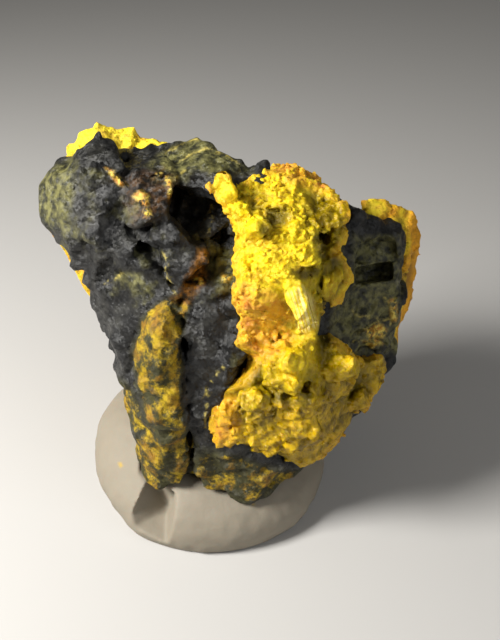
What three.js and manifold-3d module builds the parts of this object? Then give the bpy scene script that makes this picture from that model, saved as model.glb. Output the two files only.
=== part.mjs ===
// A soddyite specimen: a broken piece of black ore with yellow crystals over its front and a
// yellow to orange crust over its back, pressed by its two feet into a lump of putty.
// Units are millimetres. +Z is up, the crystals face -Y, and the putty rests on z = 0.
import * as THREE from "three";
import { ConvexGeometry } from "three/addons/geometries/ConvexGeometry.js";
import { mergeVertices } from "three/addons/utils/BufferGeometryUtils.js";
import Module from "manifold-3d";

// Driving dimensions. The rock is 18.3 wide, 10.1 deep and 17.7 tall, as its corners give it.
const PUTTY_CENTRE = [-1.7, 0.1];
const PUTTY_WIDTH = 12.8;
const PUTTY_DEPTH = 11.8;
const PUTTY_HEIGHT = 3.9;
const PUTTY_WIDEST = 0.9; // height at which the mound bulges most
const PUTTY_BLEND = 1.2;
const CRYSTAL_SIDES = 6;
const CRYSTAL_TAPER = 0.7; // a crystal's tip against its root
const MATRIX_GAP = 0.05; // between the matrix and what grows on it or holds it
const EDGE_ROUNDING = 0.06; // how soft a block's edges are
const SWELL = 0.1; // what the rounding takes off a corner, given back all over
const BLOCK_BLEND = 0.5; // how far two swellings of one growth melt into each other
const ROCK_BLEND = 0.15;
const CUT_BLEND = 0.1;
const CRYSTALS_SUNK = 0.8; // how far a grown skin dives under the matrix where it isn't seen
const SLAB_SUNK = 0.35;
const FRACTURE = { size: 2.2, height: 0.26 };
const CHIPPING = { size: 1.0, height: 0.2 };
const CRYSTAL_LUMPS = { size: 1.5, height: 0.3 };
const CRYSTAL_GRAINS = { size: 0.75, height: 0.2 };
const CRUST_LUMPS = { size: 1.1, height: 0.2 };
const HEART = [0.4, 0.4, 11.6]; // the spokes of what grows on the rock start here
const HEART_REACH = 10; // from there to the rock's farthest corners, or nearly
const LONGEST_SPOKE = 14;
const STRIDE = 0.6; // share of the distance left that one step along a spoke takes
const SHORTEST_STEP = 0.08;
const HALVINGS = 10;
const FACE_ANGLE = 1.107; // radians across one face of the ball before it is divided
const ROCK_EDGE = 1.55;
const CUT_EDGE = 1.2;
const CRYSTAL_EDGE = 1.0;
const SLAB_EDGE = 1.9;
const CRUST_EDGE = 1.6;
const PUTTY_EDGE = 1.5;

// Fields: how far a point lies outside a form, negative inside it and zero on its skin

// The hull of the corners, with its edges softened, and the middle that its spokes start from.
function block(...corners) {
  const hull = new ConvexGeometry(corners.map((corner) => new THREE.Vector3(...corner)));
  const at = hull.attributes.position;
  const faces = [];
  const [a, b, c] = [new THREE.Vector3(), new THREE.Vector3(), new THREE.Vector3()];
  for (let i = 0; i < at.count; i += 3) {
    a.fromBufferAttribute(at, i);
    b.fromBufferAttribute(at, i + 1).sub(a);
    c.fromBufferAttribute(at, i + 2).sub(a);
    const out = b.cross(c).normalize().clone();
    const same = faces.some((face) => face.out.dot(out) > 0.9999);
    if (!same) faces.push({ out, reach: out.dot(a) });
  }
  const field = (x, y, z) => {
    const depths = faces.map(({ out, reach }) => out.x * x + out.y * y + out.z * z - reach);
    const nearest = Math.max(...depths);
    const sum = depths.reduce((s, d) => s + Math.exp((d - nearest) / EDGE_ROUNDING), 0);
    return nearest + EDGE_ROUNDING * Math.log(sum) - SWELL;
  };
  const middle = [0, 1, 2].map(
    (axis) => corners.reduce((sum, corner) => sum + corner[axis], 0) / corners.length,
  );
  const reach = Math.max(...corners.map((corner) => distance(corner, middle)));
  return { field, middle, reach };
}

function ellipsoid(middle, [rx, ry, rz]) {
  const [cx, cy, cz] = middle;
  const smallest = Math.min(rx, ry, rz);
  const field = (x, y, z) =>
    smallest * (Math.hypot((x - cx) / rx, (y - cy) / ry, (z - cz) / rz) - 1);
  return { field, middle, reach: Math.max(rx, ry, rz) };
}

const distance = ([ax, ay, az], [bx, by, bz]) => Math.hypot(ax - bx, ay - by, az - bz);

function smoothMin(a, b, width) {
  const overlap = Math.max(width - Math.abs(a - b), 0) / width;
  return Math.min(a, b) - (overlap * overlap * width) / 4;
}

const joined = (forms, width) => (x, y, z) =>
  forms.map(({ field }) => field(x, y, z)).reduce((a, b) => smoothMin(a, b, width));

const carved = (body, cuts, width) => (x, y, z) =>
  cuts.reduce((left, cut) => -smoothMin(-left, cut.field(x, y, z), width), body(x, y, z));

const grownBy = (field, amount) => (x, y, z) => field(x, y, z) - amount;

// A number from 0 to 1 that depends on the cell and the salt alone.
function hash(i, j, k, salt) {
  const wave = Math.sin(i * 127.1 + j * 311.7 + k * 74.7 + salt * 53.3) * 43758.5453;
  return wave - Math.floor(wave);
}

// Flat facets that meet in sharp edges, from -1 to 1: random heights, joined by planes.
function crags(x, y, z, size, salt) {
  const place = [0.8 * x + 0.6 * z, 0.3 * x + y, -0.6 * x + 0.2 * y + 0.8 * z];
  const corner = place.map((part) => Math.floor(part / size));
  const share = place.map((part, axis) => part / size - corner[axis]);
  const ranked = [0, 1, 2].sort((a, b) => share[b] - share[a]);
  let total = (1 - share[ranked[0]]) * hash(...corner, salt);
  ranked.forEach((axis, rank) => {
    corner[axis] += 1;
    const below = rank < 2 ? share[ranked[rank + 1]] : 0;
    total += (share[axis] - below) * hash(...corner, salt);
  });
  return 2 * total - 1;
}

const roughened = (field, reliefs) => (x, y, z) =>
  reliefs.reduce(
    (left, { size, height }) => left - height * crags(x, y, z, size, 10 * size),
    field(x, y, z),
  );

// Solids

const wasm = await Module();
wasm.setup();

function solid(geometry) {
  geometry.deleteAttribute("normal");
  geometry.deleteAttribute("uv");
  const merged = mergeVertices(geometry, 1e-5);
  return new wasm.Manifold(
    new wasm.Mesh({
      numProp: 3,
      vertProperties: new Float32Array(merged.attributes.position.array),
      triVerts: new Uint32Array(merged.index.array),
    }),
  );
}

// The distance along a spoke, walked from the outside in, to where it first meets the field.
function spokeLength(field, [cx, cy, cz], way) {
  const value = (r) => field(cx + r * way.x, cy + r * way.y, cz + r * way.z);
  let outside = LONGEST_SPOKE;
  let inside = LONGEST_SPOKE;
  for (let left = value(inside); left > 0 && inside > 0; left = value(inside)) {
    outside = inside;
    inside = Math.max(0, inside - Math.max(SHORTEST_STEP, STRIDE * left));
  }
  for (let halving = 0; halving < HALVINGS; halving++) {
    const middle = (inside + outside) / 2;
    if (value(middle) > 0) outside = middle;
    else inside = middle;
  }
  return inside;
}

// A faceted ball whose every vertex is moved along its spoke to the field's skin. Its facets
// are about as long as the given edge where the spokes reach as far as reach.
function skin(field, centre, reach, edge) {
  const detail = Math.max(1, Math.round((FACE_ANGLE * reach) / edge) - 1);
  const ball = new THREE.IcosahedronGeometry(1, detail);
  const at = ball.attributes.position;
  const way = new THREE.Vector3();
  const known = new Map();
  for (let i = 0; i < at.count; i++) {
    way.fromBufferAttribute(at, i).normalize();
    const key = way.toArray().map((part) => Math.round(part * 1e5)).join();
    if (!known.has(key)) {
      const length = spokeLength(field, centre, way);
      known.set(key, way.clone().multiplyScalar(length).add(new THREE.Vector3(...centre)));
    }
    at.setXYZ(i, ...known.get(key));
  }
  return solid(ball);
}

const largest = (made) =>
  made.decompose().reduce((kept, body) => (body.volume() > kept.volume() ? body : kept));

function mesh(name, made, material) {
  const { vertProperties, triVerts } = made.getMesh();
  const geometry = new THREE.BufferGeometry();
  geometry.setAttribute("position", new THREE.BufferAttribute(vertProperties, 3));
  geometry.setIndex(new THREE.BufferAttribute(triVerts, 1));
  geometry.computeVertexNormals();
  const piece = new THREE.Mesh(geometry, material);
  piece.name = name;
  return piece;
}

// Matrix: the black ore, as blocks between its fracture faces

const core = block(
  [-3.9, 3.2, 18.4], [-2.1, 2.4, 18.9], [0.5, 1.6, 17.9], [3.3, 1.4, 17.2], [5.4, 1.2, 16.3],
  [7.9, 2.5, 14.9], [8.4, 2.6, 14.0], [8.7, 2.2, 10.6], [8.5, 1.6, 7.9], [7.6, 0.8, 6.1],
  [6.5, -0.6, 5.4], [5.5, -1.8, 4.8], [3.3, -2.4, 2.8], [0.5, -4.0, 2.5], [-2.1, -3.8, 3.3],
  [0.2, -2.8, 12.6], [3.3, -2.6, 14.0], [4.7, -2.6, 9.3], [0.0, -4.2, 6.5], [-2.0, -2.4, 14.0],
  [-6.2, -0.8, 12.6], [-5.1, -2.6, 4.9], [-6.0, 4.2, 17.2], [-5.4, 4.4, 12.5], [-4.8, 3.8, 4.2],
  [2.4, 3.4, 2.4], [6.0, 4.0, 6.2], [7.6, 4.4, 10.6], [7.4, 4.4, 13.8], [0.2, 4.6, 16.8],
);
const horn = block(
  [-9.6, 1.2, 17.7], [-9.7, 0.8, 16.8], [-9.5, 0.3, 16.2], [-9.2, 2.0, 18.0], [-8.6, 2.0, 18.5],
  [-8.0, 1.6, 19.1], [-7.5, 1.3, 19.6], [-7.1, 1.3, 19.8], [-6.4, 1.3, 20.0], [-5.9, 1.3, 19.7],
  [-5.5, 1.2, 19.2], [-7.6, -0.4, 19.4], [-7.7, -1.5, 17.2], [-5.2, -0.3, 19.1], [-5.0, -1.9, 17.1],
  [-6.4, -1.9, 15.9], [-8.0, -0.8, 15.7], [-7.4, -0.9, 14.4], [-5.1, -2.4, 15.4], [-7.4, 3.2, 16.6],
  [-5.0, 3.6, 17.6],
);
const saddle = block(
  [-5.5, 1.6, 19.0], [-5.0, 2.4, 18.9], [-4.0, 2.4, 18.8], [-3.2, 1.2, 19.0], [-3.0, -0.6, 18.6],
  [-3.4, -1.8, 17.8], [-4.0, -2.3, 17.7], [-4.6, -2.3, 17.3], [-5.3, -2.0, 17.3],
  [-5.5, -0.4, 18.9], [-4.6, 3.6, 16.6], [-4.4, 0.4, 15.0], [-5.8, 0.4, 15.4],
);
const hump = block(
  [-3.6, 2.4, 18.9], [-2.1, 2.6, 19.5], [-1.5, 2.0, 19.5], [-0.7, 1.6, 19.2], [0.4, 1.0, 18.6],
  [-3.1, -0.4, 18.5], [-1.8, -0.7, 18.4], [-0.8, -0.8, 18.3], [0.1, -0.3, 18.4], [-4.2, 2.0, 18.0],
  [0.6, 0.6, 16.6], [-4.0, 3.6, 17.0], [0.0, 3.8, 17.2],
);
const fold = block(
  [-3.1, 0.9, 18.9], [-1.9, 1.2, 19.4], [-1.3, 0.9, 19.5], [-0.5, 0.7, 19.2], [0.3, 0.4, 18.5],
  [-3.1, -0.1, 18.7], [-1.4, -0.2, 19.0], [-0.6, -0.3, 18.8], [-1.5, 1.4, 17.5], [-0.6, -0.6, 17.8],
);
const boss = block(
  [-3.6, -2.2, 17.2], [-2.6, -2.2, 17.5], [-1.6, -2.3, 16.5], [-1.6, -2.7, 15.7],
  [-2.7, -3.1, 15.5], [-3.5, -3.0, 15.9], [-3.9, -2.6, 16.8], [-4.2, -2.2, 17.2],
  [-3.4, -1.6, 17.7], [-3.1, -3.1, 14.8], [-3.4, 0.0, 15.0], [-2.0, 0.0, 15.2],
);
const shoulder = block(
  [-7.9, -0.8, 15.6], [-7.3, -0.8, 14.2], [-6.9, -1.0, 13.0], [-6.5, -1.7, 10.5], [-6.2, -2.1, 9.5],
  [-5.8, -2.6, 8.4], [-5.1, -2.3, 15.5], [-4.0, -2.7, 15.6], [-2.9, -3.2, 14.1], [-2.8, -3.4, 12.5],
  [-4.7, -3.2, 12.3], [-5.3, -3.4, 9.6], [-6.5, -1.6, 15.7], [-5.6, -2.8, 6.9], [-6.4, 2.4, 13.0],
  [-3.0, 1.0, 15.4], [-5.4, 2.0, 7.0], [-3.0, 1.0, 8.0],
);
const foot = block(
  [-5.6, -3.0, 6.9], [-5.5, -3.3, 5.6], [-5.4, -3.4, 4.8], [-5.3, -3.6, 3.2], [-4.9, -4.2, 3.1],
  [-4.0, -4.6, 3.2], [-3.3, -4.8, 3.8], [-2.7, -4.6, 4.5], [-2.6, -4.7, 6.4], [-2.8, -4.6, 9.2],
  [-2.8, -4.3, 11.4], [-2.8, -3.8, 13.0], [-3.1, -3.5, 13.9], [-4.4, -3.4, 13.0],
  [-4.9, -3.6, 11.4], [-5.1, -3.9, 9.8], [-3.7, -4.4, 12.0], [-3.8, -4.9, 9.4], [-3.8, -5.1, 6.5],
  [-5.0, 1.0, 3.0], [-2.8, 0.6, 2.8], [-4.0, 0.0, 12.0],
);
const strip = block(
  [-2.6, -3.0, 14.5], [-0.1, -2.8, 14.6], [0.2, -3.9, 12.0], [-2.7, -3.8, 11.9], [-2.8, -4.2, 9.0],
  [-1.3, -4.5, 9.3], [-2.5, -4.4, 6.2], [-1.6, -4.7, 6.2], [-2.4, 0.0, 14.0], [0.6, 0.0, 14.0],
  [-2.4, -1.0, 6.0], [1.0, -1.0, 6.0],
);
const pillar = block(
  [-1.1, -1.5, 15.4], [0.1, -1.9, 15.8], [0.0, -2.8, 14.2], [-1.1, -2.9, 14.2], [-1.0, 0.0, 14.0],
  [0.6, 0.0, 14.4],
);
const lobe = block(
  [-2.4, -4.4, 3.9], [-1.8, -4.8, 3.6], [-0.8, -5.0, 3.3], [0.4, -5.0, 3.0], [1.3, -4.9, 3.1],
  [2.3, -4.5, 3.4], [3.2, -3.9, 3.9], [4.1, -3.3, 4.2], [-2.2, -4.7, 6.0], [0.2, -4.9, 5.6],
  [2.2, -4.6, 4.6], [0.0, -4.7, 7.4], [-1.6, 0.6, 2.5], [2.6, 0.6, 2.5], [0.4, -1.0, 8.0],
);
const stepBlock = block(
  [5.5, 0.8, 16.6], [6.2, 1.6, 16.0], [7.0, 2.2, 15.5], [8.0, 2.3, 15.0], [5.6, 0.4, 15.4],
  [7.8, 1.4, 14.8], [8.3, 2.3, 14.4], [8.6, 1.9, 11.4], [8.5, 1.3, 8.9], [5.6, -0.3, 12.7],
  [8.0, 0.8, 12.1], [4.8, -1.0, 11.5], [8.0, 0.4, 9.5], [7.3, -0.3, 8.9], [5.3, -1.3, 10.1],
  [4.0, 3.0, 15.6], [8.2, 3.6, 11.0], [4.0, 3.0, 8.6],
);
const rimKnob = block(
  [0.5, 1.0, 18.5], [0.7, 1.0, 18.8], [1.1, 1.0, 18.9], [1.4, 1.2, 18.6], [0.6, 0.2, 18.5],
  [1.7, 0.2, 18.3], [1.2, 2.0, 17.8], [2.6, 1.8, 17.4],
);

// The cuts in it, from the black hollow left of the crystals to the groove between the feet.
const hollow = block(
  [-3.1, -0.9, 18.0], [-0.6, -0.6, 18.1], [-0.2, -0.6, 17.1], [-0.3, -0.8, 15.6],
  [-1.6, -1.0, 15.6], [-3.3, -1.3, 17.5], [-2.8, -4.0, 19.5], [-0.3, -4.0, 19.9], [0.2, -4.0, 18.8],
  [0.1, -4.0, 17.1], [-1.5, -4.0, 17.1], [-3.2, -4.0, 18.9],
);
const deepHole = ellipsoid([-1.2, -0.9, 15.8], [0.8, 1.2, 0.25]);
const recess = block(
  [-4.7, -4.5, 18.1], [-4.1, -4.5, 18.3], [-3.7, -4.5, 18.0], [-3.6, -4.5, 17.2],
  [-4.2, -4.5, 16.8], [-4.7, -4.5, 17.1], [-4.9, -1.6, 16.2], [-4.3, -1.6, 16.3],
  [-4.8, -2.9, 16.1], [-4.0, -3.0, 16.2],
);
const blockNotch = block(
  [5.4, -1.2, 14.5], [6.3, -1.2, 14.5], [7.4, -1.2, 14.9], [7.5, -1.2, 13.8], [5.7, -1.2, 13.7],
  [5.8, 1.6, 12.9], [8.1, 2.6, 12.7], [8.2, 2.4, 11.7], [6.1, 1.5, 12.2],
);
const ledgeStep = block(
  [5.1, -1.2, 16.2], [7.4, -1.2, 16.1], [7.5, -1.2, 14.9], [5.2, -1.2, 14.8], [5.4, 1.0, 14.9],
  [8.0, 2.1, 14.2], [8.0, 1.2, 13.5], [5.4, 0.1, 14.0],
);
const footGroove = block(
  [-2.5, -5.6, 3.8], [-2.6, -5.6, 9.2], [-2.7, -5.4, 12.9], [-2.3, -5.6, 3.8], [-2.4, -5.5, 9.0],
  [-2.5, -5.2, 12.9], [-2.4, -4.1, 3.9], [-2.6, -3.9, 9.0], [-2.7, -3.2, 13.0],
);

const rockBlocks = [
  core, horn, shoulder, saddle, boss, foot, strip, pillar, lobe, stepBlock, hump, fold, rimKnob,
];
const rockCuts = [hollow, deepHole, recess, blockNotch, ledgeStep, footGroove];
const rockRelief = [FRACTURE, CHIPPING];

// The whole rock as one field, for the skins that grow on it.
const matrixField = roughened(
  carved(joined(rockBlocks, ROCK_BLEND), rockCuts, CUT_BLEND),
  rockRelief,
);

// The rock as one solid, grown outwards all over by a margin.
function rock(margin) {
  const skins = rockBlocks.map(({ field, middle, reach }) =>
    skin(grownBy(roughened(field, rockRelief), margin), middle, reach, ROCK_EDGE),
  );
  const cuts = rockCuts.map(({ field, middle, reach }) =>
    skin(grownBy(field, -margin), middle, reach, CUT_EDGE),
  );
  return largest(wasm.Manifold.union(skins).subtract(wasm.Manifold.union(cuts)));
}

// Soddyite crystals: two swelling masses that meet in the middle of the front

const upperMass = block(
  [-0.7, 0.0, 18.7], [-1.4, -0.8, 18.4], [-1.4, -1.2, 18.1], [-0.1, -2.2, 17.1], [-0.2, -3.3, 15.4],
  [0.8, 1.2, 18.3], [1.5, 1.9, 18.5], [2.1, 2.0, 18.4], [3.5, 1.8, 17.9], [4.9, 1.2, 17.4],
  [1.4, 0.6, 18.8], [3.4, 0.4, 18.3], [4.8, 0.0, 17.7], [5.4, -0.4, 17.1], [5.2, -1.0, 16.7],
  [5.0, -1.6, 16.0], [5.4, -2.2, 14.6], [4.4, -3.0, 13.5], [2.7, -4.3, 14.2], [0.7, -4.3, 14.5],
  [1.8, -2.4, 17.5], [4.1, -1.8, 17.7], [2.3, -3.6, 16.2], [2.4, 0.4, 12.6], [4.6, 0.4, 13.0],
  [0.2, -4.3, 12.2], [3.8, -4.0, 12.0],
);
const lowerMass = block(
  [-0.2, -4.2, 12.6], [-0.5, -4.4, 11.3], [-1.5, -4.5, 9.4], [-1.7, -4.7, 7.4], [-0.7, -5.0, 6.6],
  [0.7, -5.1, 6.1], [2.5, -4.7, 5.4], [4.1, -3.6, 4.7], [5.5, -2.4, 5.2], [6.5, -1.6, 6.0],
  [7.2, -1.0, 7.2], [7.3, -0.8, 9.2], [4.8, -3.2, 12.0], [2.8, -5.7, 10.1], [1.0, -5.5, 10.0],
  [1.4, -5.0, 12.5], [4.9, -4.0, 9.4], [2.0, -1.0, 6.0], [2.0, -1.0, 12.0], [6.2, 0.6, 8.0],
);
const massCuts = [
  ellipsoid([1.7, -2.1, 17.5], [0.65, 0.8, 0.5]),
  ellipsoid([1.1, -2.7, 17.1], [0.4, 0.5, 0.35]),
  ellipsoid([3.1, -3.6, 15.8], [0.9, 0.8, 0.35]),
  ellipsoid([3.9, -2.0, 16.4], [0.35, 1.0, 0.6]),
  ellipsoid([1.7, -5.4, 10.3], [0.6, 0.5, 0.3]),
  ellipsoid([3.0, -5.2, 10.4], [0.4, 0.6, 0.4]),
];
const crystalField = roughened(
  carved(joined([upperMass, lowerMass], BLOCK_BLEND), massCuts, CUT_BLEND),
  [CRYSTAL_LUMPS, CRYSTAL_GRAINS],
);

// One crystal: a flat-sided prism from its root to its tip, tapering to a blunt end.
function crystal(root, tip, width, thickness) {
  const from = new THREE.Vector3(...root);
  const along = new THREE.Vector3(...tip).sub(from);
  const prism = new THREE.CylinderGeometry(CRYSTAL_TAPER, 1, along.length(), CRYSTAL_SIDES);
  prism.scale(width / 2, 1, thickness / 2);
  prism.translate(0, along.length() / 2, 0);
  const up = new THREE.Vector3(0, 1, 0);
  prism.applyQuaternion(new THREE.Quaternion().setFromUnitVectors(up, along.normalize()));
  prism.translate(from.x, from.y, from.z);
  return solid(prism);
}

// One stout crystal: the hull of its corners.
const crystalBlock = (...corners) =>
  solid(new ConvexGeometry(corners.map((corner) => new THREE.Vector3(...corner))));

const largeCrystals = [
  crystalBlock( // amber block at the top right
    [3.4, -0.6, 17.4], [3.8, -0.4, 17.6], [4.9, -0.4, 17.7], [5.2, -0.6, 17.6], [5.2, -1.1, 17.0],
    [4.6, -1.7, 16.9], [3.6, -1.9, 17.0], [3.3, -1.6, 17.3], [3.4, 0.2, 16.4], [4.8, 0.0, 16.4],
  ),
  crystalBlock( // plate below it
    [2.4, -3.2, 16.2], [3.0, -2.8, 16.3], [3.7, -2.9, 16.2], [3.7, -3.4, 16.1], [3.0, -3.9, 16.0],
    [2.4, -3.7, 16.1], [2.6, -2.4, 15.6], [3.6, -2.4, 15.6],
  ),
  crystalBlock( // long pale blade in the middle
    [2.0, -3.5, 15.6], [2.6, -3.5, 15.6], [2.1, -4.0, 15.5], [2.7, -4.9, 13.5], [3.0, -5.2, 13.6],
    [3.4, -4.8, 13.7], [2.2, -3.2, 14.4], [3.0, -3.4, 13.2],
  ),
  crystalBlock( // granular swelling at its right
    [3.8, -2.2, 15.4], [4.6, -1.6, 15.4], [5.2, -1.4, 15.0], [5.4, -1.6, 14.2], [5.1, -2.0, 13.5],
    [4.5, -2.6, 13.2], [3.8, -3.2, 14.0], [4.0, -3.0, 14.9], [4.9, -2.2, 14.8], [4.0, -0.6, 14.0],
  ),
  crystal([-0.8, -4.4, 6.9], [-0.6, -5.1, 9.2], 1.4, 1.2), // orange one at the lower left
  crystal([0.4, -1.8, 16.6], [1.0, -3.0, 17.8], 1.3, 1.1),
  crystal([2.0, -4.4, 11.6], [2.6, -5.7, 12.3], 1.9, 1.6),
  crystal([3.6, -3.6, 10.4], [5.5, -4.2, 10.9], 1.8, 1.4),
  crystal([0.9, -4.6, 9.4], [0.5, -5.9, 10.3], 1.7, 1.4),
  crystal([2.4, -4.4, 7.6], [3.3, -5.8, 8.6], 1.9, 1.6),
  crystal([5.0, -2.0, 7.0], [6.4, -2.6, 7.8], 1.6, 1.4),
];

// Soddyite crust: a slab over the back, with a crest at top left and a thick rind at the right

const backSlab = block(
  [-9.7, 1.7, 15.6], [-9.1, 1.6, 15.1], [-8.4, 1.6, 14.4], [-7.1, 1.9, 12.9], [-9.4, 2.6, 17.3],
  [-8.9, 3.2, 18.1], [-8.5, 3.3, 18.5], [-7.8, 3.4, 18.8], [-6.3, 2.6, 10.0], [-5.6, 1.8, 5.2],
  [-4.4, 4.6, 4.2], [2.6, 4.4, 3.4], [6.4, 4.4, 6.0], [8.4, 4.9, 10.2], [8.4, 5.0, 13.6],
  [6.2, 4.8, 14.6], [0.6, 5.2, 16.2], [-4.0, 5.4, 17.3], [-7.0, 5.0, 17.6], [-6.4, 5.4, 12.0],
  [1.0, 5.7, 11.0],
);
const crest = block(
  [-7.5, 3.4, 19.1], [-7.0, 3.7, 19.3], [-6.8, 3.8, 19.7], [-6.1, 3.8, 19.6], [-5.4, 3.8, 19.4],
  [-4.8, 3.7, 19.1], [-3.7, 3.4, 18.7], [-6.7, 2.4, 18.9], [-4.2, 2.8, 18.4], [-6.8, 5.0, 16.0],
  [-3.8, 5.2, 15.6], [-8.0, 3.6, 17.6], [-6.4, 4.8, 18.2], [-4.2, 4.8, 17.8],
);
const rind = block(
  [6.3, 3.2, 15.8], [7.4, 3.8, 15.7], [8.4, 3.8, 15.2], [9.1, 3.8, 14.5], [9.4, 3.6, 13.9],
  [9.5, 3.4, 12.3], [9.3, 3.1, 11.1], [9.1, 2.9, 9.8], [8.8, 2.5, 8.1], [8.6, 2.2, 7.2],
  [8.1, 1.6, 6.2], [7.7, 1.3, 5.6], [8.4, 2.6, 14.6], [8.7, 2.4, 13.4], [8.8, 2.3, 10.5],
  [8.9, 4.8, 13.4], [8.9, 4.6, 10.4], [7.6, 4.4, 7.4], [6.4, 4.8, 14.6],
);
const crustRelief = [CRUST_LUMPS];

// Putty: a pressed mound, higher behind the left foot, with a fold open to the front

const [puttyX, puttyY] = PUTTY_CENTRE;
const puttyMound = ellipsoid(
  [puttyX, puttyY, PUTTY_WIDEST],
  [PUTTY_WIDTH / 2, PUTTY_DEPTH / 2, PUTTY_HEIGHT - PUTTY_WIDEST],
);
const puttyShoulder = ellipsoid([puttyX - 2.9, puttyY + 1.3, 2.2], [3.5, 4.2, 2.6]);
const puttyRim = ellipsoid([puttyX + 0.1, puttyY - 3.5, 1.2], [3.9, 2.4, 2.0]);
const puttyFold = block(
  [-6.2, -5.8, 0.9], [-5.0, -4.8, 3.4], [-3.1, -5.4, 3.4], [-3.9, -6.2, 0.5], [-4.8, -3.1, 2.8],
  [-4.0, -3.6, 1.2], [-3.5, -4.2, 2.8],
);
const puttyField = carved(
  joined([puttyMound, puttyShoulder, puttyRim], PUTTY_BLEND),
  [puttyFold],
  CUT_BLEND,
);

// Materials, coloured as the dry specimen looks in soft light

const ore = new THREE.MeshStandardMaterial({ color: 0x2b2b2c, roughness: 0.5, metalness: 0.1 });
const lemon = new THREE.MeshStandardMaterial({ color: 0xe6c60c, roughness: 0.35, metalness: 0 });
const orange = new THREE.MeshStandardMaterial({ color: 0xe59a22, roughness: 0.7, metalness: 0 });
const putty = new THREE.MeshStandardMaterial({ color: 0xb3a890, roughness: 0.85, metalness: 0 });

// Pieces

const matrix = rock(0);
const matrixRoom = rock(MATRIX_GAP);

// The skin of a growth that is carried on under the rock's skin, so that no spoke misses it.
function grownSkin(field, sunk, edge) {
  const shape = (x, y, z) => Math.min(field(x, y, z), matrixField(x, y, z) + sunk);
  return skin(shape, HEART, HEART_REACH, edge);
}

const crystalSkin = grownSkin(crystalField, CRYSTALS_SUNK, CRYSTAL_EDGE);
const crystalMass = wasm.Manifold.union([crystalSkin, ...largeCrystals]);
const crystals = largest(crystalMass.subtract(matrixRoom));

function crustSkin(margin) {
  const grown = ({ field }) => grownBy(roughened(field, crustRelief), margin);
  const ends = [crest, rind].map((end) => skin(grown(end), end.middle, end.reach, CRUST_EDGE));
  return wasm.Manifold.union([grownSkin(grown(backSlab), SLAB_SUNK, SLAB_EDGE), ...ends]);
}
const crust = largest(crustSkin(0).subtract(matrixRoom));

const underground = new THREE.BoxGeometry(40, 40, 10);
underground.translate(0, 0, -5);
const pressedOut = wasm.Manifold.union([solid(underground), matrixRoom, crustSkin(MATRIX_GAP)]);
const puttyBall = skin(puttyField, [puttyX, puttyY, PUTTY_WIDEST], PUTTY_WIDTH / 2, PUTTY_EDGE);
const puttyBase = largest(puttyBall.subtract(pressedOut));

const specimen = new THREE.Group();
specimen.add(mesh("matrix", matrix, ore));
specimen.add(mesh("soddyite_crystals", crystals, lemon));
specimen.add(mesh("soddyite_crust", crust, orange));
specimen.add(mesh("putty_base", puttyBase, putty));

export default specimen;
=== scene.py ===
"""The looks of a soddyite specimen: black ore with yellow crystals over its front and a yellow
to orange crust over its back, pressed by its two feet into a lump of putty.

The forms are worked out in millimetres and made into meshes in metres. A form is a function
that takes points, one a row, and gives how far each lies outside it, negative inside.
"""

import math
from concurrent.futures import ThreadPoolExecutor

import bmesh
import bpy
import numpy as np
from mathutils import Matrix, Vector


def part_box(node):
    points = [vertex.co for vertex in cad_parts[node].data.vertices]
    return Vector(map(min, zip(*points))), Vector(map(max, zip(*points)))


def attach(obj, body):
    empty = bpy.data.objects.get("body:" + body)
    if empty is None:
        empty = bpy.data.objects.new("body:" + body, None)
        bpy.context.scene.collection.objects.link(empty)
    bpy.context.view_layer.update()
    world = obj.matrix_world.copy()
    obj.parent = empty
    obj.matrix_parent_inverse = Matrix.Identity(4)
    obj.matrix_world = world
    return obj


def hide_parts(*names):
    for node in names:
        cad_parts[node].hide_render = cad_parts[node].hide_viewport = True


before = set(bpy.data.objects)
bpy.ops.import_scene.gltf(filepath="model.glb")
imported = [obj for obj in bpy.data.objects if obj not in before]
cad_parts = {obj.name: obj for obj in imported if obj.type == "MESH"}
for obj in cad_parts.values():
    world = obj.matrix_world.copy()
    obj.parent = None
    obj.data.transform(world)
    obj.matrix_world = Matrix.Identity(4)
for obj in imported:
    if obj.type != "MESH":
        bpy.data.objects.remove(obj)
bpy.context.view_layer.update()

MM = 0.001  # metres

# The photograph's camera
FRAME_WIDE, FRAME_TALL = 500, 640
FOCAL = 870  # in the picture's pixels
PITCH = math.radians(34)
CAMERA = np.array([0.5, -37.0, 35.7])
PIXEL = 1 / 20.7  # millimetres across a pixel at the specimen

# Driving dimensions, as in the solids that these pieces stand for
PUTTY_CENTRE = (-1.7, 0.1)
PUTTY_WIDTH = 12.8
PUTTY_DEPTH = 11.8
PUTTY_HEIGHT = 3.9
PUTTY_WIDEST = 0.9  # height at which the mound bulges most
PUTTY_BLEND = 1.2
MATRIX_GAP = 0.03  # between the matrix and the putty pressed round it
EDGE_ROUNDING = 0.04  # how soft a block's edges are
SWELL = 0.06  # what the rounding takes off a corner, given back all over
BLOCK_BLEND = 0.5  # how far two swellings of one growth melt into each other
ROCK_BLEND = 0.15
CUT_BLEND = 0.08
SUNK = 0.3  # how far what grows on the matrix reaches into it

# Relief, as pairs of a bump's size and its height
FRACTURE = ((2.2, 0.26), (1.0, 0.22))
LEDGES = ((0.6, 0.22), (0.3, 0.11))
CRYSTAL_LUMPS = ((1.7, 0.42), (0.8, 0.26))
CRYSTAL_GRAINS = ((0.4, 0.26), (0.21, 0.12))
CHIPS = ((0.45, 0.14), (0.22, 0.07))
CRUST_LUMPS = ((1.1, 0.26), (0.5, 0.2))
CRUST_GRAINS = ((0.27, 0.16),)
BACK_SWELLS = ((2.4, 0.5),)
RELIEF_REACH = 0.6  # how far from a plain skin its relief can matter

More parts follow.
